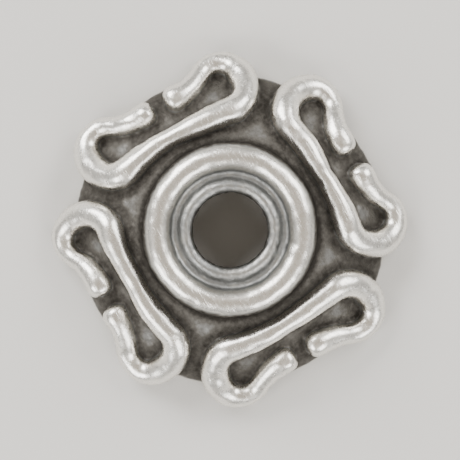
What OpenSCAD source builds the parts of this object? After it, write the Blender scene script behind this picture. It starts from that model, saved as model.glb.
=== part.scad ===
// Cast bead cap: a round domed dish with a raised collar round its hole,
// and four scrolls of wire lying on the dome, whose lobes overhang the rim.

/* [Dish] */
// Diameter of the round dish under the scrolls
dish_d = 6.6; // [6.5:0.05:6.7]
// Height of the top of the dish's edge
edge_h = 0.36; // [0.32:0.02:0.44]
// Width of the bevel under the dish's edge
bevel_w = 0.2; // [0.14:0.02:0.24]
// Height of the bevel under the dish's edge
bevel_h = 0.18; // [0.12:0.02:0.22]
// Radius of the dome, outside
dome_r = 4.6; // [4.2:0.05:5]
// Radius of the hollow under the dome
hollow_r = 3.4; // [3.2:0.05:3.8]
// Width of the flat rim that the cap stands on
rim_w = 0.25; // [0.15:0.05:0.3]
// Width of the sloping lip inside the rim, where a bead sits
seat_w = 0.36; // [0.3:0.02:0.44]
// Height of the sloping lip
seat_h = 0.18; // [0.1:0.02:0.24]

/* [Collar] */
// Diameter of the hole through the cap
hole_d = 1.6; // [1.2:0.05:1.7]
// Height from the rim to the top of the collar
cap_h = 2; // [1.9:0.05:2.3]
// Outer diameter of the collar
collar_d = 3.7; // [3.6:0.02:3.8]
// Thickness of the collar's ring
collar_t = 0.54; // [0.4:0.02:0.6]
// Depth of the groove inside the collar
groove_h = 0.34; // [0.25:0.01:0.45]
// Thickness of the small lip round the hole
lip_t = 0.3; // [0.2:0.02:0.34]
// Thickness of the plate that the hole goes through
plate_t = 0.45; // [0.35:0.05:0.55]
// Diameter of the pocket under the plate, at its top
pocket_d = 2.6; // [2.4:0.05:2.8]
// Diameter of the pocket where it meets the hollow
pocket_foot_d = 3.1; // [2.9:0.05:3.2]

/* [Scrolls] */
// Number of scrolls round the dome
scrolls = 4; // [3:1:4]
// Thickness of the wire in the middle of a bar
bar_t = 0.42; // [0.36:0.02:0.46]
// Thickness of the wire from the end of a bar to the side of its lobe
elbow_t = 0.6; // [0.54:0.02:0.64]
// Thickness of the wire at the tip of a lobe
wire_t = 0.5; // [0.46:0.02:0.54]
// Thickness of the wire where a lobe turns into its tail
neck_t = 0.44; // [0.38:0.02:0.48]
// Thickness of the wire where it enters its knob
tail_t = 0.5; // [0.44:0.02:0.52]
// Thickness of the knobs beside the notch
knob_t = 0.58; // [0.54:0.01:0.6]
// Height of the wire's centre line above the dome
wire_lift = 0.12; // [0.08:0.01:0.16]
// Gap between the collar and the middle of a bar
bar_gap = 0.26; // [0.22:0.01:0.3]
// Radius of a bar's slight bow
bar_bow_r = 6.1; // [5.5:0.1:7]
// Angle between a scroll's middle and the tip of each lobe
lobe_turn = 26.2; // [25:0.2:27]
// How far the lobes stand out over the dish
overhang = 0.49; // [0.44:0.01:0.54]
// Width of the notch between the knobs
notch_w = 0.26; // [0.22:0.01:0.32]
// Distance from the dish's edge in to the middle of a knob
knob_in = 0.3; // [0.26:0.01:0.33]
// Height of the underside of the webs that close the lobes
web_h = 0.14; // [0.1:0.01:0.17]

/* [Hidden] */
$fn = 96;
silver = [0.8, 0.79, 0.75];
wire_sides = 12;
bar_steps = 8;
lobe_steps = 18;
tail_steps = 5;

dish_r = dish_d / 2;
rim_r = dish_r - bevel_w;
mouth_r = rim_r - rim_w;
dome_z = edge_h - sqrt(pow(dome_r, 2) - pow(dish_r, 2));
seat_r = mouth_r - seat_w;
hollow_z = seat_h - sqrt(pow(hollow_r, 2) - pow(seat_r, 2));
collar_r = (collar_d - collar_t) / 2;
collar_z = cap_h - collar_t / 2;
plate_top = cap_h - groove_h;
plate_under = plate_top - plate_t;
pocket_foot_z = hollow_z + sqrt(pow(hollow_r, 2) - pow(pocket_foot_d / 2, 2));
lip_r = hole_d / 2 + lip_t / 2;

// the lobes level out just clear of the surface that the rim stands on
tip_gap = 0.02;
tip_z = wire_t / 2 + tip_gap;
tip_blend = 0.16;

// In plan a scroll is three circles that touch each other. The bar's passes the
// collar, the tail's ends at the knob, and the lobe's fills the room from the bar
// to the tip.
bar_y = collar_d / 2 + bar_gap + bar_t / 2;
bow_y = bar_y - bar_bow_r;
tip_r = dish_r + overhang - wire_t / 2;
lobe_r = (pow(tip_r, 2) - pow(bar_bow_r, 2) + pow(bow_y, 2) - 2 * bow_y * tip_r * cos(lobe_turn))
    / (2 * (bar_bow_r + tip_r - bow_y * cos(lobe_turn)));
lobe_x = (tip_r - lobe_r) * sin(lobe_turn);
lobe_y = (tip_r - lobe_r) * cos(lobe_turn);
knob_x = (notch_w + knob_t) / 2;
knob_y = dish_r - knob_in;
tail_r = (pow(lobe_x - knob_x, 2) + pow(knob_y - lobe_y, 2) - pow(lobe_r, 2))
    / (2 * (lobe_r - knob_y + lobe_y));
tail_y = knob_y + tail_r;
bow_end = atan2(lobe_x, lobe_y - bow_y);
tail_end = atan2(tail_y - lobe_y, knob_x - lobe_x);
lobe_sweep = tail_end + 90 + bow_end;
side_step = bar_steps + lobe_steps * (90 + bow_end) / lobe_sweep;
tip_step = bar_steps + lobe_steps * (180 + bow_end - lobe_turn) / lobe_sweep;
lobe_end = bar_steps + lobe_steps;
wire_steps = lobe_end + tail_steps;

module bead_cap()
{
    color(silver)
    difference() {
        union() {
            dome();
            collar();
            for (i = [0 : scrolls - 1])
                rotate([0, 0, i * 360 / scrolls])
                    scroll();
        }
        hollow();
    }
}

// The upper side of the dish: a slice of a ball with an upright edge, bevelled below,
// and a web inside each lobe that goes on from it to the wire
module dome()
{
    intersection() {
        union() {
            cylinder(r1 = rim_r, r2 = dish_r, h = bevel_h);
            translate([0, 0, bevel_h])
                cylinder(r = dish_r, h = cap_h - bevel_h);
            for (i = [0 : scrolls - 1], turn = [-lobe_turn, lobe_turn])
                rotate([0, 0, i * 360 / scrolls - turn])
                    translate([0, tip_r - lobe_r, web_h])
                        cylinder(r = lobe_r, h = cap_h - web_h);
        }
        translate([0, 0, dome_z])
            sphere(r = dome_r);
    }
}

// A ring on a short hub, and the lip round the hole
module collar()
{
    rotate_extrude()
        difference() {
            union() {
                translate([collar_r, collar_z])
                    circle(d = collar_t);
                translate([0, edge_h])
                    square([collar_r, plate_top - edge_h]);
                translate([collar_r, edge_h])
                    square([collar_t / 2, collar_z - edge_h]);
                translate([lip_r, plate_top])
                    circle(d = lip_t);
            }
            // the groove has upright walls down to the plate
            translate([0, plate_top])
                square([hole_d / 2, cap_h]);
        }
}

// What is open below: the hollow with its sloping lip, the pocket and the hole
module hollow()
{
    translate([0, 0, hollow_z])
        sphere(r = hollow_r);
    translate([0, 0, -seat_h])
        cylinder(r1 = mouth_r + seat_w, r2 = seat_r, h = 2 * seat_h);
    translate([0, 0, pocket_foot_z])
        cylinder(d1 = pocket_foot_d, d2 = pocket_d, h = plate_under - pocket_foot_z);
    translate([0, 0, -cap_h])
        cylinder(d = hole_d, h = 3 * cap_h);
}

function arc(centre, r, from, to, steps) =
    [for (i = [0 : steps])
        let (a = from + (to - from) * i / steps)
            centre + r * [cos(a), sin(a)]];

// Plan of half a scroll: bar, lobe and tail, from the bar's middle to the knob
function half_plan() = concat(
    arc([0, bow_y], bar_bow_r, 90, 90 - bow_end, bar_steps),
    skip_first(arc([lobe_x, lobe_y], lobe_r, -90 - bow_end, tail_end, lobe_steps)),
    skip_first(arc([knob_x, tail_y], tail_r, tail_end - 180, -90, tail_steps)));

function skip_first(list) = [for (i = [1 : len(list) - 1]) list[i]];

// A plan point lifted to the wire's centre line: it follows the dome and levels
// out at the lobes' tips
function lift(p) =
    let (fall = dome_z + sqrt(pow(dome_r + wire_lift, 2) - p * p) - tip_z)
        [p.x, p.y, tip_z + (fall + norm([fall, tip_blend])) / 2];

// Thickness of the wire so many steps from the middle of its bar
function thickness(steps) = lookup(steps, [
    [0, bar_t],
    [bar_steps, elbow_t],
    [side_step, elbow_t],
    [tip_step, wire_t],
    [lobe_end, neck_t],
    [wire_steps, tail_t]]);

module scroll()
{
    half = half_plan();
    n = len(half);
    plan = [for (i = [1 - n : n - 1]) i < 0 ? [-half[-i].x, half[-i].y] : half[i]];
    centres = [for (p = plan) lift(p)];
    thick = [for (i = [1 - n : n - 1]) thickness(abs(i))];
    wire(centres, thick);
}

// A tube through the centres, with a ring of points square to its run at each
module wire(centres, thick)
{
    n = len(centres);
    rings = [for (i = [0 : n - 1])
        let (
            ahead = centres[min(i + 1, n - 1)] - centres[max(i - 1, 0)],
            along = ahead / norm(ahead),
            out = (centres[i] - [0, 0, dome_z]) / (dome_r + wire_lift),
            side = cross(out, along) / norm(cross(out, along)),
            up = cross(along, side)
        )
        [for (k = [0 : wire_sides - 1])
            let (a = 360 * k / wire_sides)
                centres[i] + thick[i] / 2 * (cos(a) * side + sin(a) * up)]];
    points = [for (ring = rings) each ring];
    m = wire_sides;
    sides = [for (i = [0 : n - 2]) for (k = [0 : m - 1])
        let (a = i * m + k, b = i * m + (k + 1) % m)
            each [[a, a + m, b + m], [a, b + m, b]]];
    first = [for (k = [0 : m - 1]) k];
    last = [for (k = [m - 1 : -1 : 0]) (n - 1) * m + k];
    polyhedron(points, concat(sides, [first], [last]), convexity = 6);
    for (end = [centres[0], centres[n - 1]])
        translate(end)
            sphere(d = knob_t);
}

bead_cap();
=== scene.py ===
"""Antique silver bead cap, cast in zinc alloy, lying rim down on a pale table.

The cap is worked out in millimetres, as a turned dish with four scrolls of wire laid
on its dome, and goes into Blender in metres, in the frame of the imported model.
"""

import logging
import math
from dataclasses import dataclass, field
from enum import Enum
from typing import Any

import bmesh
import bpy
import numpy as np
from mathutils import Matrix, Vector
from numpy.typing import NDArray


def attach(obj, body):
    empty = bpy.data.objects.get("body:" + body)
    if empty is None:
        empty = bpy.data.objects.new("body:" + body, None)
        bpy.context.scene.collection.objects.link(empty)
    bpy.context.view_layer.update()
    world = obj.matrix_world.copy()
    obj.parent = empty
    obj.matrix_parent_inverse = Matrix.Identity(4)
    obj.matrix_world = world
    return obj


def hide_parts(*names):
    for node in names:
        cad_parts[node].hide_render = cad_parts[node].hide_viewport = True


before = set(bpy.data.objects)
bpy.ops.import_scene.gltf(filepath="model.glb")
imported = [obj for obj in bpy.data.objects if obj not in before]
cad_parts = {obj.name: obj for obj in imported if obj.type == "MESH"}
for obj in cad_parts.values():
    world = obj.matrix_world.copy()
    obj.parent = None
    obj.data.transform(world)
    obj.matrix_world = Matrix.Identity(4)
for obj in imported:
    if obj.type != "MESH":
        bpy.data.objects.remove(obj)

Array = NDArray[np.float64]
Faces = NDArray[np.int64]
Place = tuple[float, float, float]
Pair = tuple[float, float]
# where something starts and where it ends
Span = tuple[float, float]

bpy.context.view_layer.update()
NODE = "bead_cap"
MM = 0.001
SCROLLS = 4
SEED_STEP = 10

log = logging.getLogger("bead_cap")


class Mark(Enum):
    """Numbers kept for every point of the casting, which its finish reads."""

    TARNISH_AND_SHADE = "tarnish"
    CREVICE = "crevice"
    SATIN = "satin"


class Seed(Enum):
    """Where each random pattern of the casting starts its draws."""

    SWELL = 11
    RIPPLE = 12
    PEBBLE = 13
    BLOTS = 17
    FLECKS = 18
    DENTS = 31
    FIRST_SCROLL = 50


class Half(Enum):
    """The two halves of a scroll, by the side of its middle that they lie on."""

    LEFT = -1
    RIGHT = 1


def linear(hex_colour: str) -> tuple[float, float, float, float]:
    """Turns an sRGB hex colour to linear light.

    Args:
        hex_colour: Six hex digits, red first.

    Returns:
        Red, green, blue and an alpha of one, for a colour socket.
    """
    shares = [int(hex_colour[i:i + 2], 16) / 255 for i in (0, 2, 4)]
    rgb = [s / 12.92 if s <= 0.04045 else ((s + 0.055) / 1.055) ** 2.4 for s in shares]
    return rgb[0], rgb[1], rgb[2], 1.0


def arc(centre: Pair, radius: float, start: float, end: float, count: int) -> Array:
    """Points along a circle: centre plus radius times the cosine and sine of an angle.

    Args:
        centre: The circle's centre.
        radius: Its radius.
        start: First angle in degrees, counter-clockwise from the first axis.
        end: Last angle in degrees.
        count: How many points, both ends included.

    Returns:
        A count by 2 array.
    """
    angle = np.radians(np.linspace(start, end, count))
    return np.array(centre) + radius * np.stack([np.cos(angle), np.sin(angle)], axis=1)


def straight(start: Pair, end: Pair, count: int) -> Array:
    """Points spread evenly between two, both ends included.

    Args:
        start: First point.
        end: Last point.
        count: How many points.

    Returns:
        A count by 2 array.
    """
    share = np.linspace(0, 1, count)[:, None]
    return (1 - share) * np.array(start) + share * np.array(end)


def unit(vectors: Array) -> Array:
    """Divides vectors by their own lengths.

    Args:
        vectors: An array whose last axis holds the coordinates.

    Returns:
        Vectors one long.
    """
    return vectors / np.linalg.norm(vectors, axis=-1, keepdims=True)


def smooth_step(values: Array, low: float, high: float) -> Array:
    """Rises from 0 at low to 1 at high as 3 s squared less 2 s cubed.

    Args:
        values: Any numbers.
        low: Where the rise starts.
        high: Where it ends.

    Returns:
        Numbers from 0 to 1.
    """
    share = np.clip((values - low) / (high - low), 0, 1)
    return share * share * (3 - 2 * share)


def waves(points: Array, length: float, seed: int, count: int = 24) -> Array:
    """A smooth uneven number for each point: a sum of plane waves in random directions.

    Each wave is the cosine of the point times a random direction, plus a random phase.

    Args:
        points: Where to work it out, in millimetres.
        length: The usual distance from crest to crest.
        seed: Chooses the directions and phases.
        count: How many waves.

    Returns:
        One number a point, mostly between -1 and 1.
    """
    rng = np.random.default_rng(seed)
    direction = unit(rng.normal(size=(count, 3)))
    pace = 2 * np.pi / (length * rng.uniform(0.7, 1.5, count))
    phase = rng.uniform(0, 2 * np.pi, count)
    return np.cos((points @ direction.T) * pace + phase).sum(axis=1) / math.sqrt(count)


def grid_faces(rows: int, columns: int, wrap_rows: bool) -> Faces:
    """Four-cornered faces of a grid of points whose columns close on themselves.

    Args:
        rows: Points along the first parameter.
        columns: Points along the second, which closes.
        wrap_rows: Whether the last row joins the first too.

    Returns:
        One row of four point numbers for each face.
    """
    i, j = np.meshgrid(np.arange(rows if wrap_rows else rows - 1), np.arange(columns), indexing="ij")
    below, beside = (i + 1) % rows, (j + 1) % columns
    corners = [i * columns + j, i * columns + beside, below * columns + beside, below * columns + j]
    return np.stack(corners, axis=-1).reshape(-1, 4)


@dataclass
class Body:
    """A closed surface as plain arrays: points in millimetres and four-cornered faces."""

    points: Array = field(default_factory=lambda: np.zeros((0, 3)))
    faces: Faces = field(default_factory=lambda: np.zeros((0, 4), dtype=np.int64))

    def add(self, other: "Body") -> None:
        """Lays another surface beside this one, unjoined.

        Args:
            other: The surface to add.
        """
        self.faces = np.concatenate([self.faces, other.faces + len(self.points)])
        self.points = np.concatenate([self.points, other.points])


@dataclass(frozen=True)
class SectionPoints:
    """How many points each part of the dish's section is drawn with."""

    bore: int = 12
    lip: int = 16
    groove_floor: int = 6
    groove_wall: int = 4
    collar: int = 30
    collar_wall: int = 10
    dome: int = 40
    edge: int = 8
    bevel: int = 8
    rim: int = 8
    seat: int = 10
    hollow: int = 36
    pocket: int = 12
    plate: int = 10


@dataclass
class Dish:
    """The turned body of the casting: dome, collar, lip round the hole, hollow and rim."""

    radius: float = 3.3
    edge_height: float = 0.36
    bevel_width: float = 0.2
    bevel_height: float = 0.18
    dome_radius: float = 4.6
    hollow_radius: float = 3.4
    rim_width: float = 0.25
    seat_width: float = 0.36
    seat_height: float = 0.18
    hole_radius: float = 0.8
    height: float = 2.0
    collar_radius: float = 1.85
    collar_thickness: float = 0.58
    groove_depth: float = 0.34
    lip_thickness: float = 0.3
    plate_thickness: float = 0.45
    pocket_radius: float = 1.3
    pocket_foot_radius: float = 1.55
    counts: SectionPoints = SectionPoints()
    turns: int = 480

    @property
    def dome_centre(self) -> float:
        """Height of the dome's centre, which puts its edge at the edge's height."""
        return self.edge_height - math.sqrt(self.dome_radius ** 2 - self.radius ** 2)

    @property
    def rim_radius(self) -> float:
        """Radius where the bevel turns into the flat rim."""
        return self.radius - self.bevel_width

    @property
    def mouth_radius(self) -> float:
        """Radius where the flat rim turns into the sloping lip."""
        return self.rim_radius - self.rim_width

    @property
    def seat_radius(self) -> float:
        """Radius where the sloping lip meets the hollow."""
        return self.mouth_radius - self.seat_width

    @property
    def hollow_centre(self) -> float:
        """Height of the hollow's centre, below the rim."""
        return self.seat_height - math.sqrt(self.hollow_radius ** 2 - self.seat_radius ** 2)

    @property
    def pocket_foot(self) -> float:
        """Height where the pocket under the plate meets the hollow."""
        return self.hollow_centre + math.sqrt(self.hollow_radius ** 2 - self.pocket_foot_radius ** 2)

    def profile(self) -> Array:
        """The section from the hole outwards over the top and back underneath.

        The parts in order are the lip's half circle, the groove's floor, the collar's
        half circle and foot, the dome's arc, the upright edge and its bevel, the flat rim,
        the sloping lip, the hollow's arc and the pocket's cone, all joined end to end.

        Returns:
            Points of radius and height in millimetres, one closed loop.
        """
        plate_top = self.height - self.groove_depth
        plate_under = plate_top - self.plate_thickness
        half = self.collar_thickness / 2
        ring = self.collar_radius - half
        ring_z = self.height - half
        lip = self.lip_thickness / 2
        foot_z = self.dome_centre + math.sqrt(self.dome_radius ** 2 - self.collar_radius ** 2)
        foot_angle = math.degrees(math.asin(self.collar_radius / self.dome_radius))
        edge_angle = math.degrees(math.asin(self.radius / self.dome_radius))
        seat_angle = math.degrees(math.asin(self.seat_radius / self.hollow_radius))
        pocket_angle = math.degrees(math.asin(self.pocket_foot_radius / self.hollow_radius))
        bore, inner, outer = self.hole_radius, ring - half, self.collar_radius
        counts = self.counts
        parts = [
            straight((bore, plate_under), (bore, plate_top), counts.bore),
            arc((bore + lip, plate_top), lip, 180, 0, counts.lip),
            straight((bore + 2 * lip, plate_top), (inner, plate_top), counts.groove_floor),
            straight((inner, plate_top), (inner, ring_z), counts.groove_wall),
            arc((ring, ring_z), half, 180, 0, counts.collar),
            straight((outer, ring_z), (outer, foot_z), counts.collar_wall),
            arc((0, self.dome_centre), self.dome_radius, 90 - foot_angle, 90 - edge_angle, counts.dome),
            straight((self.radius, self.edge_height), (self.radius, self.bevel_height), counts.edge),
            straight((self.radius, self.bevel_height), (self.rim_radius, 0), counts.bevel),
            straight((self.rim_radius, 0), (self.mouth_radius, 0), counts.rim),
            straight((self.mouth_radius, 0), (self.seat_radius, self.seat_height), counts.seat),
            arc((0, self.hollow_centre), self.hollow_radius, 90 - seat_angle, 90 - pocket_angle,
                counts.hollow),
            straight((self.pocket_foot_radius, self.pocket_foot), (self.pocket_radius, plate_under),
                     counts.pocket),
            straight((self.pocket_radius, plate_under), (bore, plate_under), counts.plate),
        ]
        return np.concatenate([part[:-1] for part in parts])

    def build(self) -> Body:
        """Turns the profile about the hole's axis: x and y are its radius times the
        cosine and sine of the turn, and z is its height.

        Returns:
            The closed surface of the dish.
        """
        section = self.profile()
        turn = np.linspace(0, 2 * np.pi, self.turns, endpoint=False)
        points = np.stack([
            section[:, :1] * np.cos(turn),
            section[:, :1] * np.sin(turn),
            np.repeat(section[:, 1:], self.turns, axis=1),
        ], axis=-1)
        return Body(points.reshape(-1, 3), grid_faces(len(section), self.turns, True)[:, ::-1])

    def over(self, points: Array) -> Array:
        """Height of points above the dome's ball, in millimetres."""
        return np.linalg.norm(points - [0, 0, self.dome_centre], axis=1) - self.dome_radius


@dataclass
class Scroll:
    """One scroll of wire: a bar along the collar, two lobes, and two tails with knobs."""

    dish: Dish
    turn: float
    seed: int
    bar_thickness: float = 0.42
    elbow_thickness: float = 0.6
    lobe_thickness: float = 0.5
    neck_thickness: float = 0.44
    tail_thickness: float = 0.5
    knob_thickness: float = 0.58
    lift: float = 0.12
    bar_gap: float = 0.26
    bow_radius: float = 6.1
    lobe_turn: float = 26.2
    overhang: float = 0.49
    notch: float = 0.26
    knob_in: float = 0.3
    blunt: float = 2.8
    clearance: float = 0.02
    blend: float = 0.16
    bar_points: int = 30
    lobe_points: int = 60
    tail_points: int = 18
    stations: int = 260
    sides: int = 28
    sway: float = 0.016
    sway_length: float = 1.3
    sway_waves: int = 5
    swell: float = 0.035
    swell_length: float = 0.9
    swell_waves: int = 6

    def lobe_at(self, half: Half) -> float:
        """Turn of a lobe's middle about the hole's axis, in degrees.

        Args:
            half: Which of the scroll's two lobes.

        Returns:
            Degrees counter-clockwise from the first axis.
        """
        return 90 + math.degrees(self.turn) - half.value * self.lobe_turn

    @property
    def bow_y(self) -> float:
        """How far out the centre of the bar's circle lies."""
        return self.dish.collar_radius + self.bar_gap + self.bar_thickness / 2 - self.bow_radius

    @property
    def tip(self) -> float:
        """Radius of the wire's centre line at the tip of a lobe."""
        return self.dish.radius + self.overhang - self.lobe_thickness / 2

    @property
    def lobe_radius(self) -> float:
        """Radius of the circle that touches the bar's circle and reaches the tip."""
        bow, tip = self.bow_radius, self.tip
        across = self.bow_y * math.cos(math.radians(self.lobe_turn))
        return (tip ** 2 - bow ** 2 + self.bow_y ** 2 - 2 * across * tip) / (2 * (bow + tip - across))

    def lobes(self, aside: float = 0.0, inward: float = 0.0) -> Array:
        """Places in plan of the two lobes' middles.

        Args:
            aside: How far to go from each towards the scroll's middle.
            inward: How far to go from each towards the bar.

        Returns:
            Two points in millimetres, left lobe first.
        """
        reach, lean = self.tip - self.lobe_radius, math.radians(self.lobe_turn)
        across, out = reach * math.sin(lean) - aside, reach * math.cos(lean) - inward
        middles = np.array([[half.value * across, out] for half in Half])
        cos, sin = math.cos(self.turn), math.sin(self.turn)
        return middles @ np.array([[cos, sin], [-sin, cos]])

    def half_plan(self) -> Array:
        """Plan of the half from the bar's middle to a knob: three circles that touch.

        The bar's circle passes the collar, the tail's ends at the knob, and the lobe's
        fills the room from the bar to the lobe's tip.

        Returns:
            Points in millimetres, with the bar's middle first.
        """
        bow, bow_y, lobe = self.bow_radius, self.bow_y, self.lobe_radius
        lean = math.radians(self.lobe_turn)
        lobe_x, lobe_y = (self.tip - lobe) * math.sin(lean), (self.tip - lobe) * math.cos(lean)
        knob_x, knob_y = (self.notch + self.knob_thickness) / 2, self.dish.radius - self.knob_in
        gap = knob_y - lobe_y
        tail = ((lobe_x - knob_x) ** 2 + gap ** 2 - lobe ** 2) / (2 * (lobe - gap))
        bow_end = math.degrees(math.atan2(lobe_x, lobe_y - bow_y))
        tail_end = math.degrees(math.atan2(gap + tail, knob_x - lobe_x))
        return np.concatenate([
            arc((0, bow_y), bow, 90, 90 - bow_end, self.bar_points),
            arc((lobe_x, lobe_y), lobe, -90 - bow_end, tail_end, self.lobe_points)[1:],
            arc((knob_x, knob_y + tail), tail, tail_end - 180, -90, self.tail_points)[1:],
        ])

    def centre_line(self) -> Array:
        """The whole scroll's plan, lifted on to the dome.

        Height is the dome's, raised by the lift, and levels out at the lobes' tips by a
        smooth maximum: half the sum of the fall and its length with the blend. The plan
        sways a little, as a modeller's wire does.

        Returns:
            Points in millimetres, from one knob to the other.
        """
        half = self.half_plan()
        plan = np.concatenate([half[:0:-1] * [-1, 1], half])
        spot = np.column_stack([plan, np.zeros(len(plan))])
        plan = plan + self.sway * np.column_stack([
            waves(spot, self.sway_length, seed, self.sway_waves) for seed in (self.seed, self.seed + 1)])
        ball = self.dish.dome_radius + self.lift
        tip = self.lobe_thickness / 2 + self.clearance
        fall = self.dish.dome_centre + np.sqrt(ball ** 2 - (plan ** 2).sum(axis=1)) - tip
        height = tip + (fall + np.hypot(fall, self.blend)) / 2
        return np.column_stack([plan, height])

    def thickness_at(self, share: Array) -> Array:
        """Thickness of the wire on the way from the bar's middle to a knob.

        It changes evenly from each of these places to the next: the bar's middle, its end,
        the side of the lobe, the lobe's tip, its neck, the tail and the knob.

        Args:
            share: How much of the way is gone, from 0 to 1.

        Returns:
            One thickness each, in millimetres.
        """
        places = {
            0: self.bar_thickness,
            0.3: self.elbow_thickness,
            0.55: self.elbow_thickness,
            0.7: self.lobe_thickness,
            0.83: self.neck_thickness,
            0.93: self.tail_thickness,
            1: self.knob_thickness,
        }
        return np.interp(share, list(places), list(places.values()))

    def build(self) -> Body:
        """Carries a round section along the centre line.

        The section's thickness follows the way from the bar's middle. At each end it
        closes over the knob by the power curve 1 - s ** p, which is blunter than a ball.

        Returns:
            The closed surface of the wire, in its place round the dome.
        """
        line = self.centre_line()
        step = np.linalg.norm(np.diff(line, axis=0), axis=1)
        run = np.concatenate([[0], np.cumsum(step)])
        knob = self.knob_thickness / 2
        way = np.linspace(-knob, run[-1] + knob, self.stations)
        ahead = unit(line[1] - line[0]), unit(line[-1] - line[-2])
        inner = np.clip(way, 0, run[-1])
        centre = np.stack([np.interp(inner, run, line[:, k]) for k in range(3)], axis=1)
        centre += np.minimum(way, 0)[:, None] * ahead[0]
        centre += np.maximum(way - run[-1], 0)[:, None] * ahead[1]
        along = unit(np.gradient(centre, axis=0))
        outward = unit(centre - [0, 0, self.dish.dome_centre])
        side = unit(np.cross(outward, along))
        up = np.cross(along, side)

        thickness = self.thickness_at(np.abs(way - run[-1] / 2) / (run[-1] / 2))
        thickness *= 1 + self.swell * waves(centre, self.swell_length, self.seed + 2, self.swell_waves)
        beyond = np.maximum(-way, way - run[-1]).clip(0) / knob
        half = thickness / 2 * np.clip(1 - beyond ** self.blunt, 0, 1) ** (1 / self.blunt)
        angle = np.linspace(0, 2 * np.pi, self.sides, endpoint=False)
        ring = (np.cos(angle)[None, :, None] * side[:, None, :]
                + np.sin(angle)[None, :, None] * up[:, None, :])
        points = (centre[:, None, :] + half[:, None, None] * ring).reshape(-1, 3)
        cos, sin = math.cos(self.turn), math.sin(self.turn)
        points = points @ np.array([[cos, sin, 0], [-sin, cos, 0], [0, 0, 1]])
        return Body(points, grid_faces(self.stations, self.sides, False)[:, ::-1])


@dataclass
class Web:
    """The thin floor inside a lobe, level with the dome, from the dish's edge to the wire."""

    scroll: Scroll
    half: Half
    height: float = 0.14
    least: float = 0.02
    turns: int = 72
    rings: int = 20

    def build(self) -> Body:
        """Fills the lobe's circle: each point is the circle's centre plus a share of its
        radius times the cosine and sine of a turn. The top has the dome's height there,
        and the underside is flat.

        Returns:
            The closed surface of the web.
        """
        dish = self.scroll.dish
        lobe = self.scroll.lobe_radius
        lean = math.radians(self.scroll.lobe_at(self.half))
        middle = (self.scroll.tip - lobe) * np.array([math.cos(lean), math.sin(lean)])
        turn = np.linspace(0, 2 * np.pi, self.turns, endpoint=False)
        share = np.concatenate([np.linspace(0, 1, self.rings), np.linspace(1, 0, self.rings)])
        plan = middle + lobe * share[:, None, None] * np.stack([np.cos(turn), np.sin(turn)], axis=-1)
        dome = dish.dome_centre + np.sqrt(dish.dome_radius ** 2 - (plan ** 2).sum(axis=-1))
        top = np.maximum(dome, self.height + self.least)
        level = np.where(np.arange(2 * self.rings)[:, None] < self.rings, self.height, top)
        points = np.concatenate([plan, level[:, :, None]], axis=-1)
        return Body(points.reshape(-1, 3), grid_faces(len(share), self.turns, False))


@dataclass
class Skin:
    """The points of a closed mesh with their neighbours and normals."""

    points: Array
    edges: Faces
    normals: Array

    @classmethod
    def of(cls, mesh: bpy.types.Mesh) -> "Skin":
        """Reads a mesh.

        Args:
            mesh: The mesh, in millimetres.

        Returns:
            Its points, edges and normals as arrays.
        """
        count = len(mesh.vertices)
        points, normals = np.empty(count * 3), np.empty(count * 3)
        edges = np.empty(len(mesh.edges) * 2, dtype=np.int64)
        mesh.vertices.foreach_get("co", points)
        mesh.vertices.foreach_get("normal", normals)
        mesh.edges.foreach_get("vertices", edges)
        return cls(points.reshape(-1, 3), edges.reshape(-1, 2), normals.reshape(-1, 3))

    @property
    def radius(self) -> Array:
        """Distance of each point from the hole's axis."""
        return np.hypot(self.points[:, 0], self.points[:, 1])

    @property
    def height(self) -> Array:
        """Height of each point above the rim."""
        return self.points[:, 2]

    def relax(self, values: Array, rounds: int, share: float = 0.5) -> Array:
        """Moves every value part of the way to the mean of its neighbours, several times.

        Args:
            values: One row of numbers for each point.
            rounds: How many times.
            share: How far each goes every time.

        Returns:
            The moved values.
        """
        count = len(values)
        ends = np.concatenate([self.edges[:, 0], self.edges[:, 1]])
        others = np.concatenate([self.edges[:, 1], self.edges[:, 0]])
        degree = np.bincount(ends, minlength=count)[:, None].clip(1)
        moved = values.reshape(count, -1).copy()
        for _ in range(rounds):
            sums = np.stack([np.bincount(ends, column[others], count) for column in moved.T], axis=1)
            moved += share * (sums / degree - moved)
        return moved.reshape(values.shape)


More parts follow.
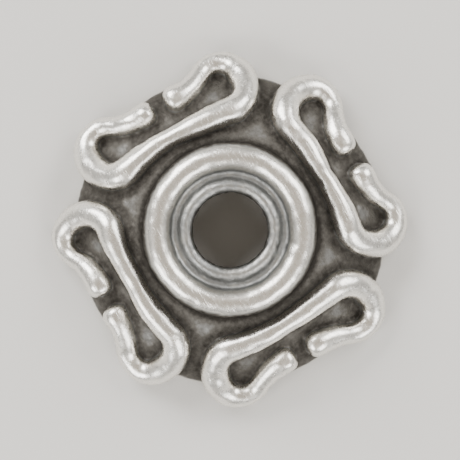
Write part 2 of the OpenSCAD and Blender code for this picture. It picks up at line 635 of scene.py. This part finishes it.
@dataclass
class Surroundings:
    """Distances to the casting's skin on a cubic grid, which tell how open a point lies."""

    skin: Skin
    cell: float = 0.05
    reach: float = 0.65
    far: float = 1e6

    def __post_init__(self) -> None:
        """Works out the distance from every cell to the nearest point of the skin.

        Squared distances are swept along each axis in turn: each cell takes the least,
        over its neighbours in a row, of theirs plus the square of the way to them.
        """
        self.corner = self.skin.points.min(axis=0) - self.reach - self.cell
        high = self.skin.points.max(axis=0) + self.reach + self.cell
        shape = np.ceil((high - self.corner) / self.cell).astype(int) + 2
        squares = np.full(shape, self.far, dtype=np.float32)
        x, y, z = np.round((self.skin.points - self.corner) / self.cell).astype(int).T
        squares[x, y, z] = 0
        for axis in range(3):
            squares = self.sweep(squares, axis)
        self.distances = np.sqrt(squares) * self.cell

    def sweep(self, squares: NDArray[np.float32], axis: int) -> NDArray[np.float32]:
        """Spreads squared distances both ways along one axis.

        Args:
            squares: Squared distances so far, in cells.
            axis: Which axis.

        Returns:
            The lesser distances.
        """
        rows = np.moveaxis(squares, axis, 0)
        best = rows.copy()
        for k in range(1, int(self.reach / self.cell) + 1):
            best[k:] = np.minimum(best[k:], rows[:-k] + k * k)
            best[:-k] = np.minimum(best[:-k], rows[k:] + k * k)
        return np.moveaxis(best, 0, axis)

    def at(self, places: Array) -> Array:
        """Distance at any places, blended from the eight cells round each.

        Args:
            places: Points in millimetres.

        Returns:
            One distance each, in millimetres.
        """
        grid = (places - self.corner) / self.cell
        low = np.clip(np.floor(grid).astype(int), 0, np.array(self.distances.shape) - 2)
        part = grid - low
        total = np.zeros(len(places))
        for corner in np.ndindex(2, 2, 2):
            weight = np.prod(np.where(corner, part, 1 - part), axis=1)
            x, y, z = (low + corner).T
            total += weight * self.distances[x, y, z]
        return total

    def shelter(self, steps: tuple[Pair, ...]) -> Array:
        """How closed in each point of the skin is.

        From each point the way leads straight out. At each step, the skin's distance is
        set against the way gone: an open place gives the same, and a slot gives less.

        Args:
            steps: Each way gone in millimetres, with its weight.

        Returns:
            0 for open points, rising to the weights' sum in the narrowest slots.
        """
        total = np.zeros(len(self.skin.points))
        for way, weight in steps:
            found = self.at(self.skin.points + way * self.skin.normals)
            total += weight * np.clip(1 - found / way, 0, 1)
        return total


@dataclass
class Antiquing:
    """What the blackening bath and the tumbling after it leave on the casting, with painted shade under the
    webs and in the pocket.

    Lengths are in millimetres, and blackness goes from 0 for bright silver to 1. A fade
    holds where it starts and where it ends.
    """

    dish: Dish
    scrolls: list[Scroll]
    # the ground between the wires, by its height above the dome and by its shelter
    ground: float = 0.84
    ground_fade: Span = (0.03, 0.1)
    sheltered: float = 0.08
    sheltered_fade: Span = (0.15, 0.4)
    # its open corners beside the collar, from the hole's axis
    corner_rub: float = 0.27
    corner_shelter: Span = (0.1, 0.26)
    corner_start: Span = (1.9, 2.2)
    corner_end: Span = (2.35, 2.85)
    # the collar's wall, inwards from its outside and downwards from its top
    wall_inset: Span = (0.15, 0.04)
    wall_drop: Span = (0.24, 0.03)
    wall_margin: float = 0.1
    # the groove, with the collar's shoulder, the lip and the seams along the floor
    groove_from: float = 1.4
    film: float = 0.26
    shoulder_rub: float = 0.22
    shoulder_radius: Span = (1.26, 1.4)
    shoulder_height: Span = (1.7, 1.9)
    lip_film: float = 0.16
    lip_fade: Span = (1.04, 1.12)
    seam_film: float = 0.16
    seam_width: float = 0.05
    seam_drop: float = 0.2
    # the hole, outwards from its wall and downwards from the collar's top
    bore_fade: float = 0.06
    bore_drop: float = 0.3
    # the pocket, black with patina and with painted shade of the deep cavity, and the hollow, with large
    # blots and small flecks
    pocket: float = 0.86
    pocket_inset: Span = (0.12, 0.04)
    pocket_rise: Span = (-0.2, 0.1)
    hollow: float = 0.1
    hollow_deep: float = 0.14
    hollow_fade: float = 0.6
    blot: float = 0.12
    blot_deep: float = 0.5
    blot_size: float = 0.55
    fleck_size: float = 0.2
    fleck_share: float = 0.6
    blot_fade: Span = (0.3, 1.6)
    # the rubbed eyes of the lobes, from their middles
    eye_rub: float = 0.24
    eye_aside: float = 0.24
    eye_inward: float = 0.08
    eye_radius: float = 0.14
    eye_level: float = 0.1
    # the painted shade, grey, under the webs, inwards from the wire and outwards from the rim
    web_shade: float = 0.33
    web_inset: Span = (0.24, 0.06)
    web_start: float = 0.06
    # what counts as the underside: height above the dome, tilt and height above the pocket
    under_over: float = 0.05
    under_tilt: float = 0.4
    under_rise: float = 0.5

    def on_ground(self, skin: Skin, shelter: Array) -> Array:
        """Black between the wires, a little rubbed in the open corners beside the collar.

        Args:
            skin: The casting.
            shelter: How closed in its points are.

        Returns:
            Blackness of each point by its height above the dome: none on the wires.
        """
        corner = (1 - smooth_step(shelter, *self.corner_shelter)) * (
            1 - smooth_step(skin.radius, *self.corner_end))
        corner *= smooth_step(skin.radius, *self.corner_start)
        black = self.ground + self.sheltered * smooth_step(shelter, *self.sheltered_fade)
        ground = (1 - smooth_step(self.dish.over(skin.points), *self.ground_fade)) * black
        return ground * (1 - self.corner_rub * corner)

    def on_collar_wall(self, skin: Skin) -> Array:
        """Black on the collar's upright outside, as far up as the tumbling left it.

        Args:
            skin: The casting.

        Returns:
            Blackness of each point, none away from the wall.
        """
        collar, top = self.dish.collar_radius, self.dish.height
        deep, shallow = self.wall_inset
        black, bright = self.wall_drop
        wall = smooth_step(skin.radius, collar - deep, collar - shallow)
        wall *= 1 - smooth_step(skin.height, top - black, top - bright)
        return wall * (skin.radius < collar + self.wall_margin)

    def in_groove(self, skin: Skin) -> Array:
        """The grey film inside the collar: on the floor, darker on the lip and along the
        floor's two edges by a bell of the distance, and rubbed off the collar's shoulder.

        Args:
            skin: The casting.

        Returns:
            Blackness of each point, meant for those inside the collar.
        """
        dish = self.dish
        film = self.film - self.shoulder_rub * smooth_step(skin.radius, *self.shoulder_radius) * (
            smooth_step(skin.height, *self.shoulder_height))
        film += self.lip_film * (1 - smooth_step(skin.radius, *self.lip_fade))
        for edge in (dish.hole_radius + dish.lip_thickness, dish.collar_radius - dish.collar_thickness):
            seam = self.seam_film * np.exp(-((skin.radius - edge) / self.seam_width) ** 2)
            film += seam * (skin.height < dish.height - self.seam_drop)
        return film

    def underneath(self, skin: Skin) -> Array:
        """Black in the pocket, patina there and painted shade of the deep cavity, and grey blots in the
        hollow that grow towards it.

        Args:
            skin: The casting.

        Returns:
            Blackness of each point, meant for those on the underside.
        """
        dish, radius = self.dish, skin.radius
        deep, shallow = self.pocket_inset
        low, high = self.pocket_rise
        # partly patina, partly painted shade: the pocket under the plate is painted black for the shade of
        # the deep cavity
        pocket = 1 - smooth_step(radius, dish.pocket_radius - deep, dish.pocket_foot_radius - shallow)
        pocket *= smooth_step(skin.height, dish.pocket_foot + low, dish.pocket_foot + high)
        depth = 1 - smooth_step(radius, dish.pocket_foot_radius, dish.pocket_foot_radius + self.hollow_fade)
        flecks = self.fleck_share * waves(skin.points, self.fleck_size, Seed.FLECKS.value)
        spread = waves(skin.points, self.blot_size, Seed.BLOTS.value) + flecks
        blots = smooth_step(spread, *self.blot_fade)
        hollow = self.hollow + self.blot * blots + (self.hollow_deep + self.blot_deep * blots) * depth
        return np.maximum(self.pocket * pocket, hollow)

    def below(self, skin: Skin) -> NDArray[np.bool_]:
        """Which points lie on the cap's underside.

        Args:
            skin: The casting.

        Returns:
            True for the hollow, the pocket, the rim and what faces down round it.
        """
        low = skin.height < self.dish.pocket_foot + self.under_rise
        facing = skin.normals[:, 2] < self.under_tilt
        return (self.dish.over(skin.points) < self.under_over) & facing & low

    def on_dish(self, skin: Skin, shelter: Array) -> Array:
        """Joins what stays on the ground, the collar, the groove, the bore and underneath.

        Args:
            skin: The casting.
            shelter: How closed in its points are.

        Returns:
            Blackness of each point.
        """
        dish = self.dish
        outside = np.maximum(self.on_ground(skin, shelter), self.on_collar_wall(skin))
        within = skin.radius < dish.collar_radius - dish.collar_thickness / 2
        outside = np.where(within * (skin.height > self.groove_from), self.in_groove(skin), outside)
        bore = 1 - smooth_step(skin.radius, dish.hole_radius, dish.hole_radius + self.bore_fade)
        outside = np.maximum(outside, bore * (skin.height < dish.height - self.bore_drop))
        return np.where(self.below(skin), self.underneath(skin), outside)

    def tarnish(self, skin: Skin, shelter: Array) -> Array:
        """The whole casting's blackness: the dish's, a little lighter in the lobes' eyes by
        a bell of the distance from each, and grey painted shade under the webs inside
        each lobe's circle.

        Args:
            skin: The casting.
            shelter: How closed in its points are.

        Returns:
            0 for bright silver to 1 for black, one number a point.
        """
        tarnish = self.on_dish(skin, shelter)
        plan = skin.points[:, None, :2]
        eyes = np.concatenate([scroll.lobes(self.eye_aside, self.eye_inward) for scroll in self.scrolls])
        away = ((plan - eyes[None, :, :]) ** 2).sum(axis=-1).min(axis=1)
        level = np.abs(self.dish.over(skin.points)) < self.eye_level
        bell = np.exp(-away / (2 * self.eye_radius ** 2)) * level
        lobes = np.concatenate([scroll.lobes() for scroll in self.scrolls])
        reach = np.sqrt(((plan - lobes[None, :, :]) ** 2).sum(axis=-1)).min(axis=1)
        lobe, rim = self.scrolls[0].lobe_radius, self.dish.rim_radius
        deep, shallow = self.web_inset
        # painted shade: grey on the webs' undersides, standing for the shade in the recess inside each lobe
        web_shade = (1 - smooth_step(reach, lobe - deep, lobe - shallow)) * (skin.normals[:, 2] < 0)
        web_shade *= smooth_step(skin.radius, rim, rim + self.web_start)
        return np.maximum(tarnish * (1 - self.eye_rub * bell), self.web_shade * web_shade)


@dataclass
class Casting:
    """The dish and its scrolls run together as one casting with small fillets.

    Lengths are in millimetres. A number of rounds says how often something is smoothed.
    """

    dish: Dish
    scrolls: list[Scroll]
    antiquing: Antiquing
    grain: float = 0.042
    join: float = 1e-6
    fillet_rounds: int = 5
    crevice_rounds: int = 16
    crevice_share: float = 0.6
    shelter_steps: tuple[Pair, ...] = ((0.18, 0.4), (0.34, 0.4), (0.6, 0.2))
    shelter_rounds: int = 3
    tarnish_rounds: int = 2
    satin_rounds: int = 3
    unevenness: float = 0.007
    swell_length: float = 1.1
    ripple_length: float = 0.34
    ripple_share: float = 0.6
    pebble: float = 0.008
    pebble_length: float = 0.17
    pebble_waves: int = 40
    dents: int = 90
    dent_size: Span = (0.05, 0.12)
    dent_depth: Span = (0.004, 0.014)
    foot_fade: Span = (0.02, 0.12)
    stand: float = 0.012

    def fuse(self) -> bpy.types.Mesh:
        """Makes one closed skin round the overlapping surfaces.

        Returns:
            A mesh in millimetres, of even four-cornered faces.
        """
        body = self.dish.build()
        for scroll in self.scrolls:
            body.add(scroll.build())
            for half in Half:
                body.add(Web(scroll, half).build())
        mesh = bpy.data.meshes.new("cast_parts")
        mesh.from_pydata(body.points.tolist(), [], body.faces.tolist())
        work = bmesh.new()
        work.from_mesh(mesh)
        bmesh.ops.remove_doubles(work, verts=work.verts, dist=self.join)
        work.to_mesh(mesh)
        work.free()
        rough = bpy.data.objects.new("cast_parts", mesh)
        bpy.context.scene.collection.objects.link(rough)
        skin = rough.modifiers.new("skin", "REMESH")
        skin.mode = "VOXEL"
        skin.voxel_size = self.grain
        graph = bpy.context.evaluated_depsgraph_get()
        fused = bpy.data.meshes.new_from_object(rough.evaluated_get(graph))
        bpy.data.objects.remove(rough)
        bpy.data.meshes.remove(mesh)
        return fused

    def wear(self, skin: Skin, tarnish: Array) -> Array:
        """Moves the skin in and out a little, as cast and tumbled metal is.

        Two sums of waves make it uneven, and a third pebbles the black ground, which the
        tumbling doesn't reach. Each small dent lowers the points near its middle by its
        depth times a bell of their distance from it. All of it fades out at the rim, which
        stays flat.

        Args:
            skin: The smooth casting.
            tarnish: How black its points are.

        Returns:
            The worn points.
        """
        points = skin.points
        swell = waves(points, self.swell_length, Seed.SWELL.value)
        ripple = waves(points, self.ripple_length, Seed.RIPPLE.value)
        shift = self.unevenness * (swell + self.ripple_share * ripple)
        shift += self.pebble * tarnish * waves(
            points, self.pebble_length, Seed.PEBBLE.value, self.pebble_waves)
        rng = np.random.default_rng(Seed.DENTS.value)
        middles = points[rng.integers(0, len(points), self.dents)]
        sizes = rng.uniform(*self.dent_size, self.dents)
        depths = rng.uniform(*self.dent_depth, self.dents)
        for middle, size, depth in zip(middles, sizes, depths):
            away = ((points - middle) ** 2).sum(axis=1)
            shift -= depth * np.exp(-away / (2 * size ** 2))
        above = smooth_step(skin.height, *self.foot_fade)
        return points + (shift * above)[:, None] * skin.normals

    def build(self) -> bpy.types.Object:
        """Fuses, smooths, marks, wears and scales the casting.

        A crevice is how far the skin moves outwards when it is smoothed: more than nothing
        in a hollow and less on an edge. At the end the rim is set flat on the table.

        Returns:
            The piece, in metres.
        """
        mesh = self.fuse()
        skin = Skin.of(mesh)
        points = skin.relax(skin.points, self.fillet_rounds)
        mesh.vertices.foreach_set("co", points.ravel())
        mesh.update()
        skin = Skin.of(mesh)
        near = skin.relax(skin.points, self.crevice_rounds, self.crevice_share)
        crevice = ((near - skin.points) * skin.normals).sum(axis=1)
        shelter = skin.relax(Surroundings(skin).shelter(self.shelter_steps), self.shelter_rounds)
        tarnish = skin.relax(self.antiquing.tarnish(skin, shelter), self.tarnish_rounds)
        satin = skin.relax(self.antiquing.below(skin).astype(float), self.satin_rounds)
        points = self.wear(skin, tarnish)
        points[:, 2] = (points[:, 2] - points[:, 2].min() - self.stand).clip(0)
        self.mark(mesh, Mark.CREVICE, crevice)
        self.mark(mesh, Mark.TARNISH_AND_SHADE, tarnish)
        self.mark(mesh, Mark.SATIN, satin)
        mesh.vertices.foreach_set("co", (points * MM).ravel())
        mesh.update()
        mesh.shade_smooth()
        piece = bpy.data.objects.new("bead_cap_casting", mesh)
        bpy.context.scene.collection.objects.link(piece)
        log.info("casting: %d points, %d faces", len(points), len(mesh.polygons))
        return piece

    @staticmethod
    def mark(mesh: bpy.types.Mesh, mark: Mark, values: Array) -> None:
        """Stores one number for each point, for the finish to read.

        Args:
            mesh: The mesh that keeps the numbers.
            mark: What the numbers tell.
            values: One number a point.
        """
        layer = mesh.attributes.new(mark.value, "FLOAT", "POINT")
        layer.data.foreach_set("value", values.astype(np.float32))
        log.info("%s: %.3f to %.3f", mark.value, values.min(), values.max())


def add_node(tree: bpy.types.NodeTree, kind: str, settings: dict[str, Any] | None = None,
             **sockets: Any) -> bpy.types.Node:
    """Adds one node, sets it and links it.

    Args:
        tree: The material's node tree.
        kind: The node's type name, without the leading ShaderNode.
        settings: The node's own properties.
        **sockets: For each input, by its name with _ for a space or s with its number, a
            value or an output to link.

    Returns:
        The new node.
    """
    node = tree.nodes.new("ShaderNode" + kind)
    for name, value in (settings or {}).items():
        setattr(node, name, value)
    for name, value in sockets.items():
        key = int(name[1:]) if name[1:].isdigit() else name.replace("_", " ")
        socket = node.inputs[key]
        if isinstance(value, bpy.types.NodeSocket):
            tree.links.new(value, socket)
        else:
            socket.default_value = value
    return node


@dataclass(frozen=True)
class Pattern:
    """A noise: its coarseness in millimetres, its finer layers and how strong each is."""

    size: float
    detail: float
    strength: float

    def add(self, tree: bpy.types.NodeTree, place: bpy.types.NodeSocket) -> bpy.types.NodeSocket:
        """Adds the noise to a material.

        Args:
            tree: The material's node tree.
            place: Where the pattern is read.

        Returns:
            The noise, about one half.
        """
        return add_node(tree, "TexNoise", Vector=place, Scale=1 / (self.size * MM), Detail=self.detail,
                        Roughness=self.strength).outputs["Fac"]


@dataclass(frozen=True)
class AntiqueSilver:
    """Silver plate on cast zinc, blackened in a bath and then tumbled.

    The tumbling rubs the wires and the collar bright and leaves the black in the hollows; the marks it
    reads also hold painted shade under the webs and in the pocket.
    Sizes are in millimetres.
    """

    bright: str = "F2EFE8"
    shades: tuple[tuple[float, str], ...] = ((0.14, "CBC8C0"), (0.4, "8F908F"), (0.72, "65625D"))
    black: str = "3D3A36"
    crevice_weight: float = 4.0
    drift: Pattern = Pattern(0.5, 3.0, 0.55)
    drift_weight: float = 0.35
    speck: Pattern = Pattern(0.09, 4.0, 0.65)
    speck_weight: float = 0.35
    tarnish_span: Span = (0.35, 1.4)
    roughness: Span = (0.2, 0.6)
    speck_roughness: float = 0.16
    satin_roughness: float = 0.17
    grain: Pattern = Pattern(0.045, 3.0, 0.6)
    pit_size: float = 0.16
    pit_reach: float = 0.22
    pit_weight: float = 0.35
    scratch_runs: tuple[tuple[float, Pattern], ...] = (
        (0.5, Pattern(0.03, 1.0, 0.5)), (2.1, Pattern(0.036, 1.0, 0.5)))
    scratch_weight: float = 0.8
    scratch_lean: Pair = (0.3, 0.2)
    scratch_squeeze: float = 0.06
    scratch_span: Span = (0.28, 0.4)
    relief: float = 0.007
    relief_strength: Span = (0.3, 0.9)

    def material(self) -> bpy.types.Material:
        """Builds the finish's nodes.

        Returns:
            The material.
        """
        material = bpy.data.materials.new("antique_silver_plate")
        material.use_nodes = True
        tree = material.node_tree
        tree.nodes.clear()
        place = add_node(tree, "TexCoord").outputs["Object"]
        # the blackness attribute holds the patina and also painted shade under the webs and in the pocket
        stain_and_shade, crevice, satin = (
            add_node(tree, "Attribute", {"attribute_name": mark.value}).outputs["Fac"] for mark in Mark)

        # broken edges of the black, from the spread of the bath over cast grain
        drift = self.drift.add(tree, place)
        speck = self.speck.add(tree, place)
        hidden_and_shaded = self.weigh(tree, crevice, self.crevice_weight, stain_and_shade)
        hidden_and_shaded = self.weigh(tree, drift, self.drift_weight, hidden_and_shaded)
        hidden_and_shaded = self.weigh(tree, speck, self.speck_weight, hidden_and_shaded)
        clean, full = self.tarnish_span
        tarnish = add_node(tree, "MapRange", Value=hidden_and_shaded, From_Min=clean, From_Max=full).outputs[0]

        ramp = add_node(tree, "ValToRGB", Fac=tarnish)
        stops = ramp.color_ramp.elements
        stops[0].color = linear(self.bright)
        stops[1].color = linear(self.black)
        for spot, colour in self.shades:
            stops.new(spot).color = linear(colour)

        smooth, dull = self.roughness
        rough = add_node(tree, "MapRange", Value=tarnish, To_Min=smooth, To_Max=dull).outputs[0]
        rough = self.weigh(tree, speck, self.speck_roughness, rough)
        rough = self.weigh(tree, satin, self.satin_roughness, rough)

        # fine cast grain that catches the light as a satin sheen, deeper in the recesses
        grain = self.grain.add(tree, place)
        pits = add_node(tree, "TexVoronoi", Vector=place, Scale=1 / (self.pit_size * MM), Randomness=1.0)
        pit = add_node(tree, "MapRange", {"interpolation_type": "SMOOTHSTEP"},
                       Value=pits.outputs["Distance"], From_Min=0.0, From_Max=self.pit_reach).outputs[0]
        height = self.weigh(tree, pit, self.pit_weight, grain)
        for turn, streaks in self.scratch_runs:
            scratches = self.scratches(tree, place, turn, streaks)
            height = self.weigh(tree, scratches, self.scratch_weight, height)
        light, deep = self.relief_strength
        depth = add_node(tree, "MapRange", Value=tarnish, To_Min=light, To_Max=deep).outputs[0]
        bump = add_node(tree, "Bump", Height=height, Strength=depth, Distance=self.relief * MM)
        shader = add_node(tree, "BsdfPrincipled", Base_Color=ramp.outputs["Color"], Metallic=1.0,
                          Roughness=rough, Normal=bump.outputs["Normal"])
        add_node(tree, "OutputMaterial", Surface=shader.outputs["BSDF"])
        return material

    def scratches(self, tree: bpy.types.NodeTree, place: bpy.types.NodeSocket, turn: float,
                  streaks: Pattern) -> bpy.types.NodeSocket:
        """Adds fine straight scratches from the tumbling, as a noise drawn out one way.

        Args:
            tree: The material's node tree.
            place: Where the pattern is read.
            turn: Which way they run, in radians.
            streaks: The noise, as coarse as a scratch is wide.

        Returns:
            Height: 1 for smooth metal, less in a scratch.
        """
        along = add_node(tree, "Mapping", {"vector_type": "POINT"}, Vector=place,
                         Rotation=(*self.scratch_lean, turn), Scale=(1.0, self.scratch_squeeze, 1.0))
        streak = streaks.add(tree, along.outputs["Vector"])
        floor, brink = self.scratch_span
        return add_node(tree, "MapRange", {"interpolation_type": "SMOOTHSTEP"}, Value=streak,
                        From_Min=floor, From_Max=brink).outputs[0]

    @staticmethod
    def weigh(tree: bpy.types.NodeTree, value: bpy.types.NodeSocket, weight: float,
              base: bpy.types.NodeSocket) -> bpy.types.NodeSocket:
        """Adds a value times a weight to a base, and gives the sum.

        Args:
            tree: The material's node tree.
            value: What is weighed.
            weight: Its weight.
            base: What it is added to.

        Returns:
            The sum.
        """
        return add_node(tree, "Math", {"operation": "MULTIPLY_ADD"}, s0=value, s1=weight,
                        s2=base).outputs[0]


@dataclass(frozen=True)
class MattPaper:
    """Matt white paper for the table: it shows plain and pale, with no gloss."""

    colour: str = "D4D2CE"
    roughness: float = 0.9

    def material(self) -> bpy.types.Material:
        """Builds the finish's nodes.

        Returns:
            The material.
        """
        material = bpy.data.materials.new("matt_white_paper")
        material.use_nodes = True
        shader = material.node_tree.nodes["Principled BSDF"]
        shader.inputs["Base Color"].default_value = linear(self.colour)
        shader.inputs["Roughness"].default_value = self.roughness
        return material


@dataclass(frozen=True)
class Softbox:
    """One square softbox: its place and its side are in metres, and its power in watts."""

    name: str
    place: Place
    power: float
    side: float = 0.1


@dataclass(frozen=True)
class Studio:
    """Table, soft lights and the camera, which looks straight down. Lengths are in metres."""

    view_turn: float = 30.0
    camera_height: float = 0.3
    field: float = 0.0098
    sensor: float = 36.0
    clip: Span = (0.01, 10.0)
    table_side: float = 0.5
    softboxes: tuple[Softbox, ...] = (
        Softbox("key_softbox", (-0.03, 0.135, 0.1), 0.3),
        Softbox("left_softbox", (-0.135, -0.03, 0.1), 0.19),
        Softbox("right_softbox", (0.135, 0.02, 0.1), 0.19),
        Softbox("front_softbox", (0.02, -0.135, 0.1), 0.16),
    )
    room_colours: tuple[tuple[float, str], ...] = ((0.05, "9C9B99"), (0.4, "F2F0EC"), (0.95, "E0D5C7"))
    room_light: float = 0.82

    def build(self) -> None:
        """Sets up the table, the lights, the camera and the room."""
        self.table()
        for softbox in self.softboxes:
            self.light(softbox)
        self.camera()
        self.room()

    def room(self) -> None:
        """Surrounds the table with a pale room under a warmer ceiling."""
        world = bpy.data.worlds.new("pale_room")
        world.use_nodes = True
        tree = world.node_tree
        up = add_node(tree, "SeparateXYZ", Vector=add_node(tree, "TexCoord").outputs["Generated"])
        colour = add_node(tree, "ValToRGB", Fac=up.outputs["Z"])
        horizon = self.room_colours[1][0]
        colour.color_ramp.elements.new(horizon)
        for stop, (spot, shade) in zip(colour.color_ramp.elements, self.room_colours):
            stop.position = spot
            stop.color = linear(shade)
        background = tree.nodes["Background"]
        background.inputs["Strength"].default_value = self.room_light
        tree.links.new(colour.outputs["Color"], background.inputs["Color"])
        bpy.context.scene.world = world

    def table(self) -> None:
        """Lays a flat square of paper at the rim's level."""
        half = self.table_side / 2
        mesh = bpy.data.meshes.new("table")
        corners = [(-half, -half, 0), (half, -half, 0), (half, half, 0), (-half, half, 0)]
        mesh.from_pydata(corners, [], [(0, 1, 2, 3)])
        mesh.materials.append(MattPaper().material())
        floor = bpy.data.objects.new("table", mesh)
        bpy.context.scene.collection.objects.link(floor)

    @staticmethod
    def light(softbox: Softbox) -> None:
        """Hangs one softbox, turned to face the cap.

        Args:
            softbox: What it is and where it hangs.
        """
        data = bpy.data.lights.new(softbox.name, "AREA")
        data.size = softbox.side
        data.energy = softbox.power
        lamp = bpy.data.objects.new(softbox.name, data)
        lamp.location = softbox.place
        lamp.rotation_euler = (-Vector(softbox.place)).to_track_quat("-Z", "Y").to_euler()
        lamp.visible_camera = False
        bpy.context.scene.collection.objects.link(lamp)

    def camera(self) -> None:
        """Puts the camera over the cap, turned so that the cap lies as photographed."""
        data = bpy.data.cameras.new("camera")
        data.sensor_width = self.sensor
        data.lens = self.sensor * self.camera_height / self.field
        data.clip_start, data.clip_end = self.clip
        eye = bpy.data.objects.new("camera", data)
        eye.location = (0, 0, self.camera_height)
        eye.rotation_euler = (0, 0, math.radians(-self.view_turn))
        bpy.context.scene.collection.objects.link(eye)
        bpy.context.scene.camera = eye


def main() -> None:
    """Builds the cap and its studio in order."""
    logging.basicConfig(level=logging.INFO, format="%(name)s %(message)s")
    dish = Dish()
    scrolls = [
        Scroll(dish, turn=i * 2 * math.pi / SCROLLS, seed=Seed.FIRST_SCROLL.value + SEED_STEP * i)
        for i in range(SCROLLS)]
    piece = Casting(dish, scrolls, Antiquing(dish, scrolls)).build()
    piece.data.materials.clear()
    piece.data.materials.append(AntiqueSilver().material())
    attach(piece, "root")
    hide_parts(NODE)
    Studio().build()


if __name__ == "__main__":
    main()
